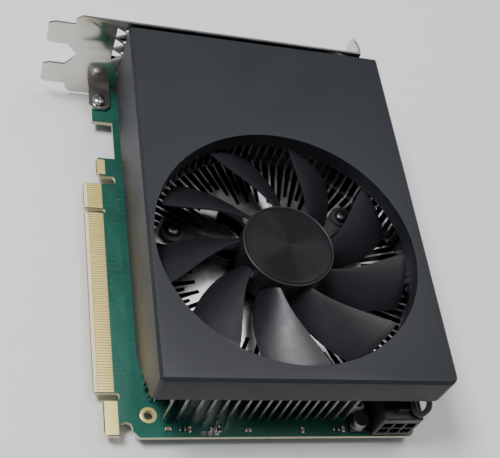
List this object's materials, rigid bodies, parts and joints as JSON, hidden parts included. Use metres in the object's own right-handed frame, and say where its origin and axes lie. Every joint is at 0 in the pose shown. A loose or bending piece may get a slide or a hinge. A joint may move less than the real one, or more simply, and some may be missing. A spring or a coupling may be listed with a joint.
{
  "type": "graphics card",
  "caption": "Dual-slot expansion card: board with edge connector, slot bracket, radial-fin heatsink and flat charcoal cover round one nine-blade axial fan.",
  "frame": {"origin": "centre of the bounding box in plan, on the surface that the card lies on: the heatsink screw heads on the solder side", "axes": "+X from the slot bracket towards the front end of the board, +Y from the edge connector towards the top edge of the card, +Z from the board towards the fan"},
  "size_m": [0.1594, 0.1266, 0.0402],
  "materials": {
    "solder_mask": "green solder mask over glass-fibre laminate, semi-gloss",
    "cover_plastic": "charcoal, fine satin",
    "fan_plastic": "black, satin",
    "plated_steel": "bright nickel plate",
    "aluminium": "extruded, machined faces bright",
    "can_aluminium": "satin sleeve",
    "connector_plastic": "moulded, satin",
    "nylon": "natural nylon",
    "chip_resin": "moulded resin",
    "chip_carrier": "green laminate",
    "silicon": "polished",
    "ferrite": "pressed powder",
    "bronze": "sintered",
    "winding": "enamelled copper",
    "magnet": "bonded ferrite",
    "dark_metal": "black oxide",
    "lead_sleeve": "black sleeve"
  },
  "bodies": {
    "card": {"angled_port_shell": "plated_steel", "angled_port_tongue": "connector_plastic", "bearing_sleeve": "bronze", "bracket_screw_1": "plated_steel", "bracket_screw_2": "plated_steel", "capacitor_1": "can_aluminium", "capacitor_2": "can_aluminium", "capacitor_3": "can_aluminium", "choke_1": "ferrite", "choke_2": "ferrite", "choke_3": "ferrite", "circuit_board": "solder_mask", "fan_driver_board": "solder_mask", "fan_frame": "fan_plastic", "fan_header": "nylon", "fan_lead": "lead_sleeve", "fan_plug": "connector_plastic", "fan_screw_1": "plated_steel", "fan_screw_2": "plated_steel", "fan_screw_3": "plated_steel", "fan_shroud": "cover_plastic", "fan_stator": "winding", "fin_bank_1": "aluminium", "fin_bank_2": "aluminium", "fin_bank_3": "aluminium", "fin_bank_4": "aluminium", "gpu_die": "silicon", "gpu_substrate": "chip_carrier", "heatsink": "aluminium", "heatsink_screw_1": "dark_metal", "heatsink_screw_2": "dark_metal", "heatsink_screw_3": "dark_metal", "heatsink_screw_4": "dark_metal", "heatsink_spring_1": "plated_steel", "heatsink_spring_2": "plated_steel", "heatsink_spring_3": "plated_steel", "heatsink_spring_4": "plated_steel", "memory_chip_1": "chip_resin", "memory_chip_2": "chip_resin", "memory_chip_3": "chip_resin", "memory_chip_4": "chip_resin", "mosfet_1": "chip_resin", "mosfet_2": "chip_resin", "mosfet_3": "chip_resin", "port_post_1": "plated_steel", "port_post_2": "plated_steel", "power_socket": "connector_plastic", "shroud_screw_1": "dark_metal", "shroud_screw_2": "dark_metal", "slim_port_shell": "plated_steel", "slim_port_tongue": "connector_plastic", "slot_bracket": "plated_steel", "wide_port_block": "connector_plastic", "wide_port_shell": "plated_steel"},
    "rotor": {"fan_impeller": "fan_plastic", "rotor_yoke": "dark_metal", "rotor_magnet": "magnet", "fan_shaft": "plated_steel", "shaft_clip": "plated_steel"}
  },
  "joints": [
    {"name": "fan_spin", "type": "hinge", "parent": "card", "child": "rotor", "pos_m": [0.02497, 0.01275, 0.0294], "axis": [0, 0, 1], "continuous": true}
  ]
}
